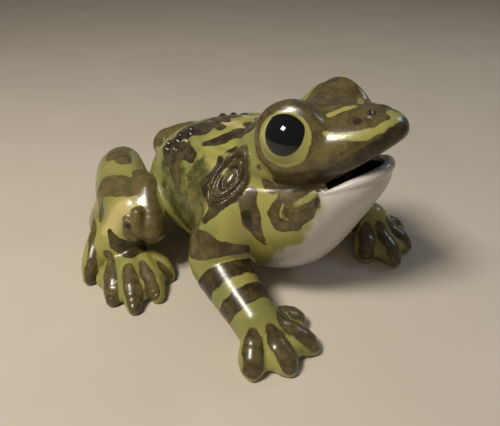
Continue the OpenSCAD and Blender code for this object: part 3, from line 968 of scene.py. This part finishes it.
class Glaze(Shader):
    """The painted glaze: green ground, white throat, olive-brown coat, blackish touches."""

    def __init__(self, material):
        super().__init__(material)
        self.wide, self.middle = self.noise(22), self.noise(95)
        self.fine, self.grain = self.noise(420), self.noise(1500, 2.0)
        self.ragged = self.math("ADD", self.span(self.middle, 0.2, 0.8, -0.9, 0.9),
                                self.span(self.fine, 0.2, 0.8, -0.5, 0.5))
        self.streak = self.math("ADD", self.math("MULTIPLY", self.middle, 0.7),
                                self.math("MULTIPLY", self.fine, 0.3))

    def inside(self, key, soft, amount=1.0):
        """1 inside a glaze's ragged edge and 0 outside it, over soft mm either way."""
        d = self.math("ADD", self.paint(key), self.math("MULTIPLY", self.ragged, amount))
        return self.span(d, -soft, soft, 1.0, 0.0)

    def ground(self):
        """The green, its yellower parts and painted highlights, the mottled flank and the white
        throat.
        """
        green = self.mix(self.span(self.wide, 0.35, 0.65), GREEN, YELLOW_GREEN)
        # the yellower ground, and the cream of the painted highlights on the back and the eardrum
        green = self.mix(self.inside("warm", 5.0, 2.0), green, WARM_GROUND_AND_HIGHLIGHT)
        mottle = self.mix(self.span(self.streak, 0.40, 0.60), FLANK_DARK, FLANK_LIGHT)
        green = self.mix(self.math("MULTIPLY", self.inside("flank", 4.0, 3.0), 0.9), green, mottle)
        return self.mix(self.inside("white", 2.2, 1.0), green, WHITE)

    def brown(self):
        """The brown coat, streaked and grained, and darker along its rim where it pooled."""
        depth = self.math("ADD", self.paint("tone"), self.span(self.streak, 0.36, 0.64, -0.3, 0.3))
        depth = self.math("ADD", depth, self.span(self.grain, 0.3, 0.7, -0.09, 0.09))
        rim = self.math("MULTIPLY", self.span(self.paint("coat"), -2.6, -0.6), 0.16)
        return self.mix(self.math("ADD", depth, rim, clamp=True), OLIVE, BROWN)

    def colour(self):
        colour = self.mix(self.inside("coat", 0.7, 0.8), self.ground(), self.brown())
        touches = self.math("MULTIPLY", self.inside("dark", 1.0, 0.7), 0.82)
        colour = self.mix(touches, colour, BLACK_BROWN)
        return self.mix(self.inside("throat", 1.0, 0.5), colour, THROAT)

    def eye_colour(self):
        """A black pupil in a yellow-green ring."""
        return self.mix(self.span(self.paint("pupil"), -0.5, 0.5), PUPIL, RING)

    def unevenness(self):
        """The slight waves and grain of a thick glaze."""
        bump = self.tree.nodes.new("ShaderNodeBump")
        waves = self.math("ADD", self.math("MULTIPLY", self.wide, 1.5),
                          self.math("MULTIPLY", self.fine, 0.35))
        self.put(bump.inputs["Strength"], 0.25)
        self.put(bump.inputs["Distance"], 0.0006)
        self.put(bump.inputs["Height"], waves)
        return bump.outputs[0]


def glaze(name, roughness):
    """A material of the painted glaze."""
    material = bpy.data.materials.new(name)
    s = Glaze(material)
    sheen = s.span(s.middle, 0.2, 0.8, roughness * 0.8, roughness * 1.25)
    s.put(s.surface.inputs["Base Color"], s.eye_colour() if name == "black_glaze" else s.colour())
    s.put(s.surface.inputs["Roughness"], sheen)
    s.put(s.surface.inputs["Coat Weight"], 0.2)
    s.put(s.surface.inputs["Coat Roughness"], 0.06)
    s.put(s.surface.inputs["Normal"], s.unevenness())
    return material


# ---------------------------------------------------------------- the build
# The finish of each piece that isn't green_glaze
SLOTS = {"haunch": "olive_glaze", "eyelid": "brown_glaze", "nostril": "brown_glaze",
         "eardrum": "brown_glaze", "back_warts": "brown_glaze", "back_fold": "brown_glaze",
         "knee_fold": "brown_glaze", "lower_jaw": "white_glaze", "lower_lip": "white_glaze",
         "eyeball": "black_glaze"}
ROUGHNESS = {"green_glaze": 0.3, "olive_glaze": 0.32, "brown_glaze": 0.32, "white_glaze": 0.38,
             "black_glaze": 0.08}


def build_frog():
    """Sculpts the skin, paints it, and makes one piece for each CAD node."""
    points, normals, triangles = sculpted()
    paint = by_cell(painted, points)
    added, owner, rows = split(points, triangles, by_cell(piece_fields, points))
    points, normals, paint = (extended(v, added) for v in (points, normals, paint))
    right = points[rows].mean(1)[:, 0] < 0
    glazes = {slot: glaze(slot, rough) for slot, rough in ROUGHNESS.items()}
    for i, (name, _, _, two_sided) in enumerate(PIECES):
        slot = SLOTS.get(name, "green_glaze")
        sides = [("right_", right), ("left_", ~right)] if two_sided else [("", right | ~right)]
        for side, keep in sides:
            piece = add_piece(f"{side}{name}_clay", points, normals, rows[(owner == i) & keep],
                              dict(zip(PAINT_KEYS, paint.T)))
            piece.data.materials.append(glazes[slot])
            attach(piece, "root")
            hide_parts(side + name)


# ---------------------------------------------------------------- the stage
# In metres and degrees
AIM_AHEAD, AIM_HEIGHT = -0.0225, 0.0432       # aimed at: from the box's middle, over the table
VIEW = (-48.9, 34.3, 0.488)                   # azimuth, elevation, distance
LENS = 32.4                                   # mm, on a sensor 36 mm wide
# A light is (name, azimuth, elevation, distance, size, power, colour)
LIGHTS = [("key", -100, 58, 1.5, 0.35, 19, (1.0, 0.93, 0.82)),
          ("window", 70, 35, 1.5, 0.3, 1.8, (0.75, 0.87, 1.0))]
ROOM_LIGHT, ROOM_POWER = (1.0, 0.95, 0.88), 0.13
FLOOR_HALF = 6.0
FLOOR_COLOURS = ((0.60, 0.54, 0.45), (0.63, 0.57, 0.48))


def aimed(obj, place, target):
    """Puts a camera or a light at a place, looking at a target."""
    obj.location = place
    obj.rotation_euler = (Vector(place) - Vector(target)).to_track_quat("Z", "Y").to_euler()
    bpy.context.collection.objects.link(obj)
    return obj


def from_target(target, azimuth, elevation, distance):
    """A place round a target: azimuth 0 is in front of the frog, in degrees."""
    a, e = math.radians(azimuth), math.radians(elevation)
    back = Vector((math.sin(a) * math.cos(e), -math.cos(a) * math.cos(e), math.sin(e)))
    return Vector(target) + back * distance


def build_camera(target):
    """The camera that the photo was matched with."""
    data = bpy.data.cameras.new("camera")
    data.sensor_width, data.lens, data.clip_end = 36.0, LENS, 50.0
    camera = bpy.data.objects.new("camera", data)
    bpy.context.scene.camera = aimed(camera, from_target(target, *VIEW), target)


def build_light(target, name, azimuth, elevation, distance, size, power, colour):
    """A square lamp that shines at the figure."""
    data = bpy.data.lights.new(name, "AREA")
    data.size, data.energy, data.color = size, power, colour
    place = from_target(target, azimuth, elevation, distance)
    aimed(bpy.data.objects.new(name, data), place, target)


def build_world():
    """The even, slightly warm light of the room."""
    world = bpy.data.worlds.new("studio")
    world.use_nodes = True
    sky = world.node_tree.nodes["Background"]
    sky.inputs["Color"].default_value = (*ROOM_LIGHT, 1.0)
    sky.inputs["Strength"].default_value = ROOM_POWER
    bpy.context.scene.world = world
    bpy.context.scene.view_settings.view_transform = "Standard"


def build_floor():
    """A plain pale tabletop, with a very faint unevenness in its colour."""
    mesh = bpy.data.meshes.new("floor")
    r = FLOOR_HALF
    mesh.from_pydata([(-r, -r, 0), (r, -r, 0), (r, r, 0), (-r, r, 0)], [], [(0, 1, 2, 3)])
    floor = bpy.data.objects.new("floor", mesh)
    bpy.context.collection.objects.link(floor)
    material = bpy.data.materials.new("floor")
    s = Shader(material)
    s.put(s.surface.inputs["Base Color"], s.mix(s.span(s.noise(6), 0.3, 0.7), *FLOOR_COLOURS))
    s.put(s.surface.inputs["Roughness"], 0.5)
    mesh.materials.append(material)


middle = [(low + high) / 2 for low, high in zip(*cad_box)]
target = (middle[0], middle[1] + AIM_AHEAD, AIM_HEIGHT)
build_camera(target)
for light in LIGHTS:
    build_light(target, *light)
build_world()
build_floor()
build_frog()
